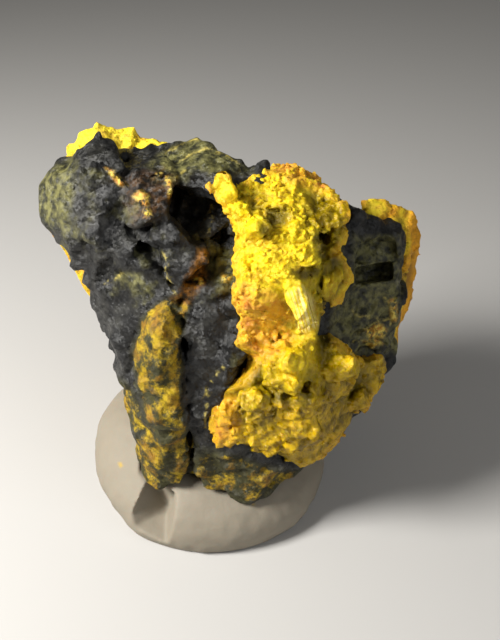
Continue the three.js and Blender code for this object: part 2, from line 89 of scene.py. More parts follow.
# Meshes
ROCK_PITCH = 0.085
CRYSTAL_PITCH = 0.07
CRUST_PITCH = 0.1
PUTTY_PITCH = 0.12
MOST_TRIANGLES = 190000  # of one piece
ROCK_SHARP = 14  # degrees between two faces past which their edge is shaded sharp
CRYSTAL_SHARP = 20
CRUST_SHARP = 45
PUTTY_SHARP = 60
ROOM = 0.4  # that a grid leaves round a solid's box
BRICK = 4  # grid steps along a brick, the block of the grid that is skipped or worked out
CHUNK = 20000  # points worked out at one time
KEPT_REACH = 1.3  # bricks outside a skin past which nothing is left to cut

# Crystals
SMALL_CRYSTALS = 800
SEED_PITCH = 0.2
BURIED = 0.05  # how deep in the rock a small crystal may start
LOW_START = 13  # height below which the crystals grow larger and glassy
TIP_SLANT = 0.9  # how steep the two faces of a tip are
TIP_CUT = 0.2  # how far they stand past the tip's middle, in widths
SIDE_DRAW = 0.95  # how far out the sides stand, in radii

# Crust
THIN_LEFT = -4  # x left of which it is a thin line
CREST_FOOT = 18  # height above which it is full all the same
RIND_FOOT = 8.5  # height below which it thins out
SIDE_START = 3.4  # y behind which it is rough
BACK_START = 4.2  # y behind which it swells

random = np.random.default_rng(7)
TURN = np.array([[0.8, 0.3, -0.6], [0, 1, 0.2], [0.6, 0, 0.8]])  # so that no relief lines up
LAYERED = np.array([0.6, 0.6, 1.4])  # ledges are wider than they are high


# Forms


def hull_faces(corners):
    """The outward directions of the faces of the corners' hull, and how far out each face is."""
    hull = bmesh.new()
    for corner in corners:
        hull.verts.new(corner)
    bmesh.ops.convex_hull(hull, input=hull.verts)
    middle = np.mean(corners, axis=0)
    faces = {}
    for face in hull.faces:
        face.normal_update()
        out = np.array(face.normal)
        reach = float(out @ np.array(face.verts[0].co))
        if out @ middle > reach:
            out, reach = -out, -reach
        faces[tuple(np.round(out, 2))] = (out, reach)
    hull.free()
    outs, reaches = zip(*faces.values())
    return np.array(outs), np.array(reaches)


def block(*corners, rounding=EDGE_ROUNDING, swell=SWELL):
    """The hull of the corners, with softened edges."""
    outs, reaches = hull_faces(corners)

    def form(points):
        depths = points @ outs.T - reaches
        nearest = depths.max(axis=1)
        share = np.exp((depths - nearest[:, None]) / rounding).sum(axis=1)
        return nearest + rounding * np.log(share) - swell

    return form


def ellipsoid(middle, radii):
    def form(points):
        ball = np.linalg.norm((points - middle) / radii, axis=1)
        return min(radii) * (ball - 1)

    return form


def smooth_min(a, b, width):
    """The smaller of two depths, eased where they are less than a width apart."""
    overlap = np.maximum(width - np.abs(a - b), 0) / width
    return np.minimum(a, b) - overlap**2 * width / 4


def joined(forms, width):
    """Several forms melted into one."""

    def form(points):
        left = forms[0](points)
        for other in forms[1:]:
            left = smooth_min(left, other(points), width)
        return left

    return form


def carved(body, cuts, width):
    """A form less what is cut out of it."""

    def form(points):
        left = body(points)
        for cut in cuts:
            left = -smooth_min(-left, cut(points), width)
        return left

    return form


def hashed(cells, salt):
    """A number from 0 to 1 for each cell, the same in every run."""
    wave = np.sin(cells @ np.array([127.1, 311.7, 74.7]) + salt * 53.3) * 43758.5453
    return wave - np.floor(wave)


def crags(points, size, salt):
    """Flat facets that meet in sharp edges, from -1 to 1: random heights, joined by planes."""
    grid = points @ TURN / size
    corner = np.floor(grid)
    share = grid - corner
    order = np.argsort(-share, axis=1)
    ranked = np.take_along_axis(share, order, axis=1)
    total = (1 - ranked[:, 0]) * hashed(corner, salt)
    for rank in range(3):
        corner = corner + (order[:, rank, None] == np.arange(3))
        below = ranked[:, rank + 1] if rank < 2 else 0
        total += (ranked[:, rank] - below) * hashed(corner, salt)
    return 2 * total - 1


def grains(points, size, salt):
    """Flat-sided bumps of random tilt that meet in sharp edges: from about -0.3 to 0.5."""
    grid = points @ TURN / size
    cells = np.floor(grid - 0.5)
    lowest = np.full(len(points), 9.0)
    for step in np.ndindex(2, 2, 2):
        near = cells + step
        jitter = np.stack([hashed(near, salt + axis) for axis in range(3)], axis=1)
        away = near + 0.2 + 0.6 * jitter - grid  # the grain's middle stays inside its cell
        tilt = (away * np.roll(2 * jitter - 1, 1, axis=1)).sum(axis=1)
        lowest = np.minimum(lowest, np.abs(away).max(axis=1) + 0.7 * tilt)
    return 0.4 - lowest


def noise(points, size, salt):
    """Smooth waves of about that size, from -1 to 1."""
    grid = points / size
    cells = np.floor(grid)
    share = grid - cells
    share = share * share * (3 - 2 * share)
    total = np.zeros(len(points))
    for step in np.ndindex(2, 2, 2):
        corner = np.array(step)
        weight = np.prod(np.where(corner, share, 1 - share), axis=1)
        total += weight * hashed(cells + corner, salt)
    return 2 * total - 1


def relief(points, bumps, shape=crags):
    """How far bumps of each size raise the points."""
    return sum(height * shape(points, size, 10 * size) for size, height in bumps)


# Meshes


def worked_out(form, points):
    """The form at many points, a chunk at a time."""
    chunks = [points[start : start + CHUNK] for start in range(0, len(points), CHUNK)]
    with ThreadPoolExecutor() as workers:
        return np.concatenate(list(workers.map(form, chunks)))


def spread(bricks):
    """Every brick's value, repeated for each of its grid points."""
    for axis in range(3):
        bricks = bricks.repeat(BRICK, axis=axis)
    return bricks


class Grid:
    """A form's depth, less its relief, at every point of a fine grid round a solid's box."""

    def __init__(self, form, texture, node, pitch):
        low, high = np.array(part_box(node)) / MM
        self.low = low - ROOM
        self.pitch = pitch
        side = pitch * BRICK
        count = np.ceil((high + ROOM - self.low) / side).astype(int)
        middles = self.low + (np.indices(count).reshape(3, -1).T + 0.5) * side
        coarse = worked_out(form, middles).reshape(count)
        self.depths = spread(coarse)
        close = np.argwhere(spread(np.abs(coarse) < side + RELIEF_REACH))
        depths = worked_out(form, self.low + close * pitch)
        skin = np.abs(depths) < RELIEF_REACH
        depths[skin] -= worked_out(texture, self.low + close[skin] * pitch)
        self.depths[tuple(close.T)] = depths

    def add(self, form, middle, reach):
        """Another form, that lies within reach of its middle, grown into this one."""
        first = np.floor((middle - reach - self.low) / self.pitch).astype(int)
        last = np.ceil((middle + reach - self.low) / self.pitch).astype(int) + 1
        first = np.clip(first, 0, self.depths.shape)
        last = np.clip(last, 0, self.depths.shape)
        if (last <= first).any():
            return
        window = tuple(slice(a, b) for a, b in zip(first, last))
        steps = np.indices(last - first).reshape(3, -1).T + first
        depths = form(self.low + steps * self.pitch).reshape(last - first)
        self.depths[window] = np.minimum(self.depths[window], depths)

    def keep(self, form):
        """Cuts away what lies outside the form."""
        close = np.argwhere(self.depths < KEPT_REACH * self.pitch * BRICK)
        there = tuple(close.T)
        limits = worked_out(form, self.low + close * self.pitch)
        self.depths[there] = np.maximum(self.depths[there], limits)

    def skin(self):
        """Points and four-sided faces where the depth is zero."""
        inside = self.depths < 0
        room = np.array(self.depths.shape) - 1
        corners = list(np.ndindex(2, 2, 2))
        parts = [inside[tuple(slice(c, c + n) for c, n in zip(at, room))] for at in corners]
        count = np.sum(parts, axis=0, dtype=np.int8)
        cells = np.argwhere((count > 0) & (count < 8))
        numbers = np.full(room, -1)
        numbers[tuple(cells.T)] = np.arange(len(cells))
        depth = {at: self.depths[tuple((cells + at).T)] for at in corners}
        total = np.zeros((len(cells), 3))
        crossings = np.zeros(len(cells))
        for start in corners:
            for axis in range(3):
                if start[axis]:
                    continue
                end = tuple(1 if i == axis else start[i] for i in range(3))
                a, b = depth[start], depth[end]
                crosses = (a < 0) != (b < 0)
                gap = np.where(crosses, a - b, 1)
                at = np.tile(np.array(start, float), (len(cells), 1))
                at[:, axis] = a / gap
                total += at * crosses[:, None]
                crossings += crosses
        points = self.low + (cells + total / crossings[:, None]) * self.pitch
        faces = []
        for axis in range(3):
            along, aside, upward = np.roll(np.eye(3, dtype=int), -axis, axis=0)
            here = inside[tuple(slice(0, n - s) for n, s in zip(inside.shape, along))]
            there = inside[tuple(slice(s, None) for s in along)]
            edges = np.argwhere(here != there)
            edges = edges[(edges >= aside + upward).all(axis=1)]
            edges = edges[(edges < room + along).all(axis=1)]
            ring = [edges - aside - upward, edges - upward, edges, edges - aside]
            quads = np.stack([numbers[tuple(cell.T)] for cell in ring], axis=1)
            outward = here[tuple(edges.T)]
            quads[~outward] = quads[~outward, ::-1]
            faces.append(quads)
        return points, np.concatenate(faces)


def largest(points, faces):
    """The largest connected part of a mesh."""
    group = np.arange(len(points))
    sides = np.concatenate([faces[:, [0, 1]], faces[:, [1, 2]], faces[:, [2, 3]]])
    while True:
        lowest = np.minimum(group[sides[:, 0]], group[sides[:, 1]])
        after = group.copy()
        np.minimum.at(after, sides[:, 0], lowest)
        np.minimum.at(after, sides[:, 1], lowest)
        after = after[after]
        if (after == group).all():
            break
        group = after
    main = np.bincount(group).argmax()
    kept = group == main
    numbers = np.cumsum(kept) - 1
    return points[kept], numbers[faces[kept[faces[:, 0]]]]


def placed(name, data):
    """A new object in the scene."""
    made = bpy.data.objects.new(name, data)
    bpy.context.scene.collection.objects.link(made)
    return made


def piece(name, grid, sharp):
    """A mesh object of the grid's skin, thinned where it is flat."""
    points, faces = largest(*grid.skin())
    mesh = bpy.data.meshes.new(name)
    mesh.vertices.add(len(points))
    mesh.vertices.foreach_set("co", (points * MM).astype(np.float32).ravel())
    mesh.loops.add(faces.size)
    mesh.loops.foreach_set("vertex_index", faces.astype(np.int32).ravel())
    mesh.polygons.add(len(faces))
    mesh.polygons.foreach_set("loop_start", np.arange(0, faces.size, 4, dtype=np.int32))
    mesh.update(calc_edges=True)
    mesh.validate()
    made = placed(name, mesh)
    triangles = 2 * len(faces)
    if triangles > MOST_TRIANGLES:
        thinner = made.modifiers.new("thinner", "DECIMATE")
        thinner.ratio = MOST_TRIANGLES / triangles
        dressed = made.evaluated_get(bpy.context.evaluated_depsgraph_get())
        thinned = bpy.data.meshes.new_from_object(dressed)
        made.modifiers.clear()
        made.data = thinned
        bpy.data.meshes.remove(mesh)
        thinned.name = name
    made.data.polygons.foreach_set("use_smooth", np.ones(len(made.data.polygons), bool))
    made.data.set_sharp_from_angle(angle=math.radians(sharp))
    return made


def vectors(made, what):
    """The place, "co", or outward direction, "normal", of an object's points."""
    flat = np.zeros(len(made.data.vertices) * 3, np.float32)
    made.data.vertices.foreach_get(what, flat)
    return flat.reshape(-1, 3)


def places(made):
    """An object's points, in millimetres."""
    return vectors(made, "co").astype(float) / MM


def mark(made, name, values):
    """One number for each point of the mesh, that its material can read."""
    layer = made.data.attributes.new(name, "FLOAT", "POINT")
    layer.data.foreach_set("value", np.asarray(values, np.float32))


# The photograph's view of the specimen, for markings that are placed as it shows them


def picture(points):
    """Where points show in the picture, in pixels from its top left corner."""
    away = points - CAMERA
    deep = away @ np.array([0, math.cos(PITCH), -math.sin(PITCH)])
    up = away @ np.array([0, math.sin(PITCH), math.cos(PITCH)])
    across = FRAME_WIDE / 2 + FOCAL * away[:, 0] / deep
    down = FRAME_TALL / 2 - FOCAL * up / deep
    return np.stack((across, down), axis=1)


def line_distance(spots, line):
    """How far each spot of the picture is from the nearest stretch of a line, in pixels."""
    nearest = np.full(len(spots), 1e9)
    for start, end in zip(np.array(line[:-1], float), np.array(line[1:], float)):
        way = end - start
        share = np.clip((spots - start) @ way / (way @ way), 0, 1)
        gap = np.linalg.norm(spots - start - share[:, None] * way, axis=1)
        nearest = np.minimum(nearest, gap)
    return nearest


def outline_depth(spots, outline):
    """How far inside an outline each spot of the picture is, in pixels, negative outside."""
    closed = [*outline, outline[0]]
    inside = np.zeros(len(spots), bool)
    x, y = spots.T
    for (ax, ay), (bx, by) in zip(closed[:-1], closed[1:]):
        crosses = (ay > y) != (by > y)
        rise = by - ay if by != ay else 1
        inside ^= crosses & (x < ax + (bx - ax) * (y - ay) / rise)
    return np.where(inside, 1, -1) * line_distance(spots, closed)


def softly(depths, width):
    """0 to 1 as the depth goes from half a width outside to half a width inside."""
    return np.clip(depths / width + 0.5, 0, 1)


def shown(made):
    """How squarely each of an object's points faces the camera, 1 at most, 0 or less behind."""
    back = CAMERA - places(made)
    back /= np.linalg.norm(back, axis=1)[:, None]
    return (back * vectors(made, "normal")).sum(axis=1)


def outlined(spots, outlines, width):
    """0 to 1 as a spot of the picture goes into any of the outlines."""
    return np.max([softly(outline_depth(spots, outline), width) for outline in outlines], axis=0)


def lined(spots, lines, width):
    """0 to 1 as a spot of the picture comes close to any of the lines."""
    return np.max([softly(width - line_distance(spots, line), width) for line in lines], axis=0)


# Markings, outlined and lined in the picture, in pixels
FOOT_STAIN = (
    (174, 299), (189, 299), (181, 338), (182, 366), (180, 393), (184, 423), (198, 446), (186, 482),
    (156, 496), (138, 480), (130, 442), (146, 432), (138, 398), (137, 378), (131, 355), (136, 335),
    (144, 312),
)
EDGE_STRIPE = ((119, 378), (131, 390), (138, 405), (146, 428), (134, 436), (125, 418))
LOBE_STAIN = (
    (190, 458), (206, 448), (239, 458), (286, 471), (322, 462), (300, 492), (248, 505), (216, 498),
    (192, 482),
)
RUST_STREAK = (
    (172, 301), (183, 285), (195, 262), (199, 249), (208, 251), (207, 276), (197, 293), (188, 303),
)
FLECKS = (
    ((106, 168), (114, 170), (121, 177), (127, 186), (120, 184), (113, 177)),
    ((132, 196), (140, 190), (149, 196), (147, 206), (138, 203)),
    ((143, 209), (149, 208), (153, 216), (147, 217)),
    ((165, 177), (171, 179), (172, 192), (168, 200), (169, 187)),
    ((155, 173), (163, 173), (160, 177)),
    ((195, 277), (202, 278), (201, 284), (196, 283)),
    ((222, 275), (232, 276), (227, 283), (221, 282)),
    ((365, 330), (377, 324), (388, 330), (384, 338), (370, 338)),
    ((389, 300), (397, 298), (397, 324), (391, 320)),
    ((364, 341), (374, 339), (383, 344), (372, 348)),
)
VEINS = (
    ((102, 287), (110, 281), (122, 273)),
    ((163, 252), (166, 270), (171, 286), (176, 300)),
    ((223, 366), (214, 378), (207, 389), (205, 410), (206, 430)),
    ((213, 203), (212, 222), (207, 240)),
    ((165, 152), (182, 143), (200, 138), (212, 141)),
    ((180, 161), (194, 152), (210, 148), (226, 154), (240, 165)),
    ((167, 186), (176, 178), (186, 169)),
    ((352, 310), (361, 318), (372, 315), (380, 321)),
    ((358, 332), (373, 324), (390, 319)),
    ((385, 298), (392, 310), (391, 324)),
    ((352, 343), (366, 338), (381, 345)),
)
OLIVE_FACES = (
    ((165, 150), (196, 135), (225, 148), (252, 170), (226, 178), (196, 168), (170, 172), (150, 164)),
    ((52, 168), (74, 158), (72, 222), (56, 228), (36, 210), (40, 184)),
    ((352, 236), (400, 236), (402, 350), (350, 356), (330, 330), (336, 306), (352, 290)),
    ((214, 252), (240, 250), (238, 292), (216, 292)),
)
BROWN_PATCH = ((128, 178), (165, 170), (176, 182), (172, 204), (156, 222), (138, 224), (126, 204))
PUTTY_SPECKS = (
    ((118, 463), (121, 462), (123, 466), (120, 468)),
    ((251, 503), (255, 504), (254, 507)),
)
# Hollows in the crystals, darkened with painted shade; no small crystals are grown there
SHADED_HOLLOWS = (
    ((264, 208), (277, 205), (291, 211), (289, 225), (272, 229), (264, 221)),
    ((257, 224), (268, 222), (273, 229), (268, 237), (258, 235)),
    ((314, 231), (324, 230), (331, 240), (328, 262), (318, 260), (313, 246)),
    ((290, 268), (308, 266), (326, 268), (320, 280), (298, 279)),
    ((269, 393), (280, 390), (291, 394), (287, 401), (272, 401)),
    ((300, 391), (310, 389), (314, 396), (307, 402), (300, 399)),
    ((244, 352), (254, 348), (259, 354), (250, 361)),
)
AMBER_CRYSTALS = (
    ((311, 204), (327, 199), (346, 201), (353, 209), (351, 226), (336, 231), (320, 228), (311, 218)),
    ((318, 355), (340, 352), (348, 362), (334, 370), (318, 366)),
)
PALE_BLADE = ((288, 292), (303, 284), (312, 300), (318, 326), (304, 334), (294, 316))
ORANGE_PATCHES = (
    ((233, 278), (246, 284), (262, 288), (282, 300), (291, 318), (291, 342), (282, 354),
     (268, 362), (252, 360), (236, 348), (224, 325), (220, 300)),
    ((262, 140), (290, 140), (345, 165), (366, 200), (352, 206), (336, 198), (318, 190),
     (300, 184), (284, 178), (268, 174)),
    ((210, 400), (219, 394), (236, 400), (238, 425), (230, 446), (212, 446)),
    ((200, 182), (214, 180), (217, 196), (226, 212), (216, 208), (202, 200)),
)

# Matrix

core = block(
    (-3.9, 3.2, 18.4), (-2.1, 2.4, 18.9), (0.5, 1.6, 17.9), (3.3, 1.4, 17.2), (5.4, 1.2, 16.3),
    (7.9, 2.5, 14.9), (8.4, 2.6, 14), (8.7, 2.2, 10.6), (8.5, 1.6, 7.9), (7.6, 0.8, 6.1),
    (6.5, -0.6, 5.4), (5.5, -1.8, 4.8), (3.3, -2.4, 2.8), (0.5, -4, 2.5), (-2.1, -3.8, 3.3),
    (0.2, -2.8, 12.6), (3.3, -2.6, 14), (4.7, -2.6, 9.3), (0, -4.2, 6.5), (-2, -2.4, 14),
    (-6.2, -0.8, 12.6), (-5.1, -2.6, 4.9), (-6, 4.2, 17.2), (-5.4, 4.4, 12.5), (-4.8, 3.8, 4.2),
    (2.4, 3.4, 2.4), (6, 4, 6.2), (7.6, 4.4, 10.6), (7.4, 4.4, 13.8), (0.2, 4.6, 16.8),
)
horn = block(
    (-9.6, 1.2, 17.7), (-9.7, 0.8, 16.8), (-9.5, 0.3, 16.2), (-9.2, 2, 18), (-8.6, 2, 18.5),
    (-8, 1.6, 19.1), (-7.5, 1.3, 19.6), (-7.1, 1.3, 19.8), (-6.4, 1.3, 20), (-5.9, 1.3, 19.7),
    (-5.5, 1.2, 19.2), (-7.6, -0.4, 19.4), (-7.7, -1.5, 17.2), (-5.2, -0.3, 19.1), (-5, -1.9, 17.1),
    (-6.4, -1.9, 15.9), (-8, -0.8, 15.7), (-7.4, -0.9, 14.4), (-5.1, -2.4, 15.4), (-7.4, 3.2, 16.6),
    (-5, 3.6, 17.6),
)
saddle = block(
    (-5.5, 1.6, 19), (-5, 2.4, 18.9), (-4, 2.4, 18.8), (-3.2, 1.2, 19), (-3, -0.6, 18.6),
    (-3.4, -1.8, 17.8), (-4, -2.3, 17.7), (-4.6, -2.3, 17.3), (-5.3, -2, 17.3), (-5.5, -0.4, 18.9),
    (-4.6, 3.6, 16.6), (-4.4, 0.4, 15), (-5.8, 0.4, 15.4),
)
hump = block(
    (-3.6, 2.4, 18.9), (-2.1, 2.6, 19.5), (-1.5, 2, 19.5), (-0.7, 1.6, 19.2), (0.4, 1, 18.6),
    (-3.1, -0.4, 18.5), (-1.8, -0.7, 18.4), (-0.8, -0.8, 18.3), (0.1, -0.3, 18.4), (-4.2, 2, 18),
    (0.6, 0.6, 16.6), (-4, 3.6, 17), (0, 3.8, 17.2),
)
fold = block(
    (-3.1, 0.9, 18.9), (-1.9, 1.2, 19.4), (-1.3, 0.9, 19.5), (-0.5, 0.7, 19.2), (0.3, 0.4, 18.5),
    (-3.1, -0.1, 18.7), (-1.4, -0.2, 19), (-0.6, -0.3, 18.8), (-1.5, 1.4, 17.5), (-0.6, -0.6, 17.8),
)
boss = block(
    (-3.6, -2.2, 17.2), (-2.6, -2.2, 17.5), (-1.6, -2.3, 16.5), (-1.6, -2.7, 15.7), (-2.7, -3.1, 15.5),
    (-3.5, -3, 15.9), (-3.9, -2.6, 16.8), (-4.2, -2.2, 17.2), (-3.4, -1.6, 17.7), (-3.1, -3.1, 14.8),
    (-3.4, 0, 15), (-2, 0, 15.2),
)
shoulder = block(
    (-7.9, -0.8, 15.6), (-7.3, -0.8, 14.2), (-6.9, -1, 13), (-6.5, -1.7, 10.5), (-6.2, -2.1, 9.5),
    (-5.8, -2.6, 8.4), (-5.1, -2.3, 15.5), (-4, -2.7, 15.6), (-2.9, -3.2, 14.1), (-2.8, -3.4, 12.5),
    (-4.7, -3.2, 12.3), (-5.3, -3.4, 9.6), (-6.5, -1.6, 15.7), (-5.6, -2.8, 6.9), (-6.4, 2.4, 13),
    (-3, 1, 15.4), (-5.4, 2, 7), (-3, 1, 8),
)
foot = block(
    (-5.6, -3, 6.9), (-5.5, -3.3, 5.6), (-5.4, -3.4, 4.8), (-5.3, -3.6, 3.2), (-4.9, -4.2, 3.1),
    (-4, -4.6, 3.2), (-3.3, -4.8, 3.8), (-2.7, -4.6, 4.5), (-2.6, -4.7, 6.4), (-2.8, -4.6, 9.2),
    (-2.8, -4.3, 11.4), (-2.8, -3.8, 13), (-3.1, -3.5, 13.9), (-4.4, -3.4, 13), (-4.9, -3.6, 11.4),
    (-5.1, -3.9, 9.8), (-3.7, -4.4, 12), (-3.8, -4.9, 9.4), (-3.8, -5.1, 6.5), (-5, 1, 3),
    (-2.8, 0.6, 2.8), (-4, 0, 12),
)
strip = block(
    (-2.6, -3, 14.5), (-0.1, -2.8, 14.6), (0.2, -3.9, 12), (-2.7, -3.8, 11.9), (-2.8, -4.2, 9),
    (-1.3, -4.5, 9.3), (-2.5, -4.4, 6.2), (-1.6, -4.7, 6.2), (-2.4, 0, 14), (0.6, 0, 14),
    (-2.4, -1, 6), (1, -1, 6),
)
pillar = block(
    (-1.1, -1.5, 15.4), (0.1, -1.9, 15.8), (0, -2.8, 14.2), (-1.1, -2.9, 14.2), (-1, 0, 14),
    (0.6, 0, 14.4),
)
lobe = block(
    (-2.4, -4.4, 3.9), (-1.8, -4.8, 3.6), (-0.8, -5, 3.3), (0.4, -5, 3), (1.3, -4.9, 3.1),
    (2.3, -4.5, 3.4), (3.2, -3.9, 3.9), (4.1, -3.3, 4.2), (-2.2, -4.7, 6), (0.2, -4.9, 5.6),
    (2.2, -4.6, 4.6), (0, -4.7, 7.4), (-1.6, 0.6, 2.5), (2.6, 0.6, 2.5), (0.4, -1, 8),
)
step_block = block(
    (5.5, 0.8, 16.6), (6.2, 1.6, 16), (7, 2.2, 15.5), (8, 2.3, 15), (5.6, 0.4, 15.4),
    (7.8, 1.4, 14.8), (8.3, 2.3, 14.4), (8.6, 1.9, 11.4), (8.5, 1.3, 8.9), (5.6, -0.3, 12.7),
    (8, 0.8, 12.1), (4.8, -1, 11.5), (8, 0.4, 9.5), (7.3, -0.3, 8.9), (5.3, -1.3, 10.1),
    (4, 3, 15.6), (8.2, 3.6, 11), (4, 3, 8.6),
)
rim_knob = block(
    (0.5, 1, 18.5), (0.7, 1, 18.8), (1.1, 1, 18.9), (1.4, 1.2, 18.6), (0.6, 0.2, 18.5),
    (1.7, 0.2, 18.3), (1.2, 2, 17.8), (2.6, 1.8, 17.4),
)
hollow = block(
    (-3.1, -0.9, 18), (-0.6, -0.6, 18.1), (-0.2, -0.6, 17.1), (-0.3, -0.8, 15.6), (-1.6, -1, 15.6),
    (-3.3, -1.3, 17.5), (-2.8, -4, 19.5), (-0.3, -4, 19.9), (0.2, -4, 18.8), (0.1, -4, 17.1),
    (-1.5, -4, 17.1), (-3.2, -4, 18.9),
)
deep_hole = ellipsoid((-1.2, -0.9, 15.8), (0.8, 1.2, 0.25))
recess = block(
    (-4.7, -4.5, 18.1), (-4.1, -4.5, 18.3), (-3.7, -4.5, 18), (-3.6, -4.5, 17.2), (-4.2, -4.5, 16.8),
    (-4.7, -4.5, 17.1), (-4.9, -1.6, 16.2), (-4.3, -1.6, 16.3), (-4.8, -2.9, 16.1), (-4, -3, 16.2),
)
block_notch = block(
    (5.4, -1.2, 14.5), (6.3, -1.2, 14.5), (7.4, -1.2, 14.9), (7.5, -1.2, 13.8), (5.7, -1.2, 13.7),
    (5.8, 1.6, 12.9), (7.8, 2.1, 12.9), (7.9, 2, 12), (6.1, 1.5, 12.2),
)
ledge_step = block(
    (5.1, -1.2, 16.2), (7.4, -1.2, 16.1), (7.5, -1.2, 14.9), (5.2, -1.2, 14.8), (5.4, 1, 14.9),
    (8, 2.1, 14.2), (8, 1.2, 13.5), (5.4, 0.1, 14),
)
foot_groove = block(
    (-2.5, -5.6, 3.8), (-2.6, -5.6, 9.2), (-2.7, -5.4, 12.9), (-2.3, -5.6, 3.8), (-2.4, -5.5, 9),
    (-2.5, -5.2, 12.9), (-2.4, -4.1, 3.9), (-2.6, -3.9, 9), (-2.7, -3.2, 13),
)
rock_blocks = [
    core, horn, shoulder, saddle, boss, foot, strip, pillar, lobe, step_block, hump, fold, rim_knob,
]
rock_cuts = [hollow, deep_hole, recess, block_notch, ledge_step, foot_groove]
plain_rock = carved(joined(rock_blocks, ROCK_BLEND), rock_cuts, CUT_BLEND)
flat_zones = [
    ellipsoid((-4.9, -2.7, 13.6), (2.3, 1.8, 2.4)),  # grey three-cornered face
    ellipsoid((-1.4, -3.2, 10.6), (1.4, 1.8, 4.4)),  # black strip down the middle
    ellipsoid((-9.2, 0.4, 16.9), (1.6, 2.4, 2.6)),  # the horn's left side
    ellipsoid((-1.6, -0.9, 17.2), (2.0, 1.0, 1.4)),  # back of the hollow
    ellipsoid((-6.6, 0.6, 19.6), (1.2, 1.8, 1.0)),  # the horn's rounded top
    ellipsoid((-1.6, 0.8, 18.8), (2.2, 1.8, 1.4)),  # the hump's folds
    ellipsoid((6.8, 0.8, 13.4), (1.6, 1.5, 2.0)),  # faces of the block at the right
]


def rock_relief(points):
    """Coarse fracture everywhere, with ledges where the rock isn't broken flat."""
    calm = np.max([softly(-zone(points) - 0.4, 0.8) for zone in flat_zones], axis=0)
    ledges = relief(points * LAYERED, LEDGES)
    crusted = outlined(picture(points), FLECKS, 6) * softly(1 - points[:, 1], 1)
    grown = crusted * (0.08 + relief(points, CRYSTAL_GRAINS, grains))
    return (1 - 0.85 * calm) * (relief(points, FRACTURE) + ledges) + grown


# Soddyite crystals

upper_mass = block(
    (-0.7, 0, 18.7), (-1.4, -0.8, 18.4), (-1.4, -1.2, 18.1), (-0.1, -2.2, 17.1), (-0.2, -3.3, 15.4),
    (0.8, 1.2, 18.3), (1.5, 1.9, 18.5), (2.1, 2, 18.4), (3.5, 1.8, 17.9), (4.9, 1.2, 17.4),
    (1.4, 0.6, 18.8), (3.4, 0.4, 18.3), (4.8, 0, 17.7), (5.4, -0.4, 17.1), (5.2, -1, 16.7),
    (5, -1.6, 16), (5.4, -2.2, 14.6), (4.4, -3, 13.5), (2.7, -4.3, 14.2), (0.7, -4.3, 14.5),
    (1.8, -2.4, 17.5), (4.1, -1.8, 17.7), (2.3, -3.6, 16.2), (2.4, 0.4, 12.6), (4.6, 0.4, 13),
    (0.2, -4.3, 12.2), (3.8, -4, 12), swell=-0.15,
)
lower_mass = block(
    (-0.2, -4.2, 12.6), (-0.5, -4.4, 11.3), (-1.5, -4.5, 9.4), (-1.7, -4.7, 7.4), (-0.7, -5, 6.6),
    (0.7, -5.1, 6.1), (2.5, -4.7, 5.4), (4.1, -3.6, 4.7), (5.5, -2.4, 5.2), (6.5, -1.6, 6),
    (7.2, -1, 7.2), (7.3, -0.8, 9.2), (4.8, -3.2, 12), (2.8, -5.7, 10.1), (1, -5.5, 10),
    (1.4, -5, 12.5), (4.9, -4, 9.4), (2, -1, 6), (2, -1, 12), (6.2, 0.6, 8),
)
mass_cuts = [
    ellipsoid((1.7, -2.1, 17.5), (0.7, 1.0, 0.55)),
    ellipsoid((1.1, -2.7, 17.1), (0.4, 0.7, 0.4)),
    ellipsoid((3.1, -3.6, 15.8), (0.9, 0.9, 0.4)),
    ellipsoid((3.9, -2.0, 16.4), (0.4, 1.2, 0.7)),
    ellipsoid((1.7, -5.4, 10.3), (0.6, 0.5, 0.3)),
    ellipsoid((3.0, -5.2, 10.4), (0.4, 0.6, 0.4)),
]
plain_mass = carved(joined([upper_mass, lower_mass], BLOCK_BLEND), mass_cuts, CUT_BLEND)


# Where the crystals end in the picture, in pixels; a little past it at the specimen's own edge
CRYSTAL_EDGE = (
    (206, 184), (221, 163), (228, 176), (245, 178), (254, 166), (262, 150), (284, 150), (313, 164),
    (345, 178), (362, 200), (350, 219), (352, 233), (346, 243), (336, 252), (348, 259), (355, 278),
    (351, 296), (335, 306), (329, 318), (334, 335), (352, 354), (367, 357), (383, 352), (402, 352),
    (389, 386), (366, 414), (341, 441), (319, 466), (301, 474), (284, 472), (262, 462), (243, 457),
    (219, 448), (210, 430), (207, 405), (209, 391), (226, 385), (241, 382), (251, 371), (258, 357),
    (246, 352), (235, 346), (231, 325), (227, 305), (230, 292), (237, 280), (234, 262), (236, 246),
    (238, 230), (229, 216), (219, 202), (207, 198),
)
FRINGE = 0.28  # how far inside its edge the growth starts to thin out
FRINGE_SLOPE = 1.6  # how fast it does
WORN_MOST = 3


def thinned(points):
    """How far the growth is worn down towards its edge, and past it."""
    inside = outline_depth(picture(points), CRYSTAL_EDGE) * PIXEL
    ragged = inside + 0.12 * noise(points, 0.45, 9)
    return FRINGE_SLOPE * np.maximum(FRINGE - ragged, 0)


def mass_in_edge(points):
    """The two masses, worn down to nothing past the edge of the growth."""
    return plain_mass(points) + np.minimum(thinned(points), WORN_MOST)


def sugary(points):
    """1 where the growth is fine-grained, 0 where it is glassy."""
    return softly(noise(points, 1.5, 8) + 0.06 * (points[:, 2] - LOW_START), 0.5)


def crystal_relief(points):
    """Lumps everywhere, with grains on the sugary patches and few on the glassy ones."""
    grained = relief(points, CRYSTAL_GRAINS, grains)
    return relief(points, CRYSTAL_LUMPS) + (0.2 + 0.8 * sugary(points)) * grained


